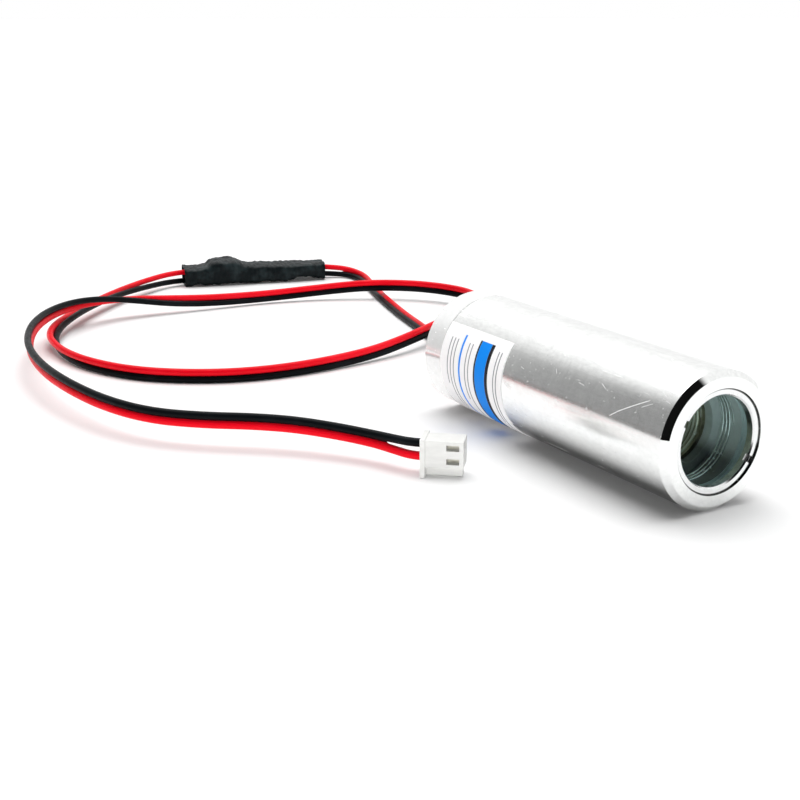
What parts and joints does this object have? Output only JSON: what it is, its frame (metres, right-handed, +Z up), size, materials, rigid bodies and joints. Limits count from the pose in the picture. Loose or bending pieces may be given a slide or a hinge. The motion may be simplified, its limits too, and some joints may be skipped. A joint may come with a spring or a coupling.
{
  "type": "laser diode module",
  "caption": "Turned metal laser diode module with a recessed front lens, a paired-wire lead to a sleeved in-line driver, and a longer lead that ends in a small white plug.",
  "frame": {"origin": "under the middle of the barrel, on the surface that the module lies on", "axes": "+X along the barrel towards the front, where the beam leaves; +Z up"},
  "size_m": [0.2262, 0.1238, 0.024],
  "materials": {
    "turned_aluminium": "turned, lightly scratched",
    "polished_aluminium": "polished",
    "coated_glass": "polished, with a faint teal coating",
    "brass": "machined",
    "gold_plate": "plated",
    "window_glass": "polished",
    "laser_crystal": "cleaved",
    "red_insulation": "satin",
    "black_insulation": "satin",
    "white_sticker": "smooth",
    "black_sleeve": "wrinkled satin",
    "circuit_board": "lacquered",
    "ferrite": "matt",
    "black_package": "moulded",
    "tan_ceramic": "fired",
    "trimmer": "moulded",
    "white_nylon": "moulded",
    "tinned_metal": "tin plated"
  },
  "bodies": {
    "root": {"housing_tube": "turned_aluminium", "front_ring": "turned_aluminium", "rear_cap": "polished_aluminium", "collimating_lens": "coated_glass", "laser_carrier": "brass", "diode_clamp_ring": "brass", "diode_header": "gold_plate", "diode_can": "gold_plate", "diode_window": "window_glass", "laser_chip": "laser_crystal", "diode_pins": "gold_plate", "inner_wire_red": "red_insulation", "inner_wire_black": "black_insulation", "label": "white_sticker", "driver_sleeve": "black_sleeve", "driver_board": "circuit_board", "power_inductor": "ferrite", "driver_chip": "black_package", "ceramic_capacitors": "tan_ceramic", "schottky_diode": "black_package", "trim_pot": "trimmer", "plug_housing": "white_nylon", "crimp_terminals": "tinned_metal", "power_lead_red": "red_insulation", "power_lead_black": "black_insulation", "output_lead_red": "red_insulation", "output_lead_black": "black_insulation"}
  },
  "joints": []
}
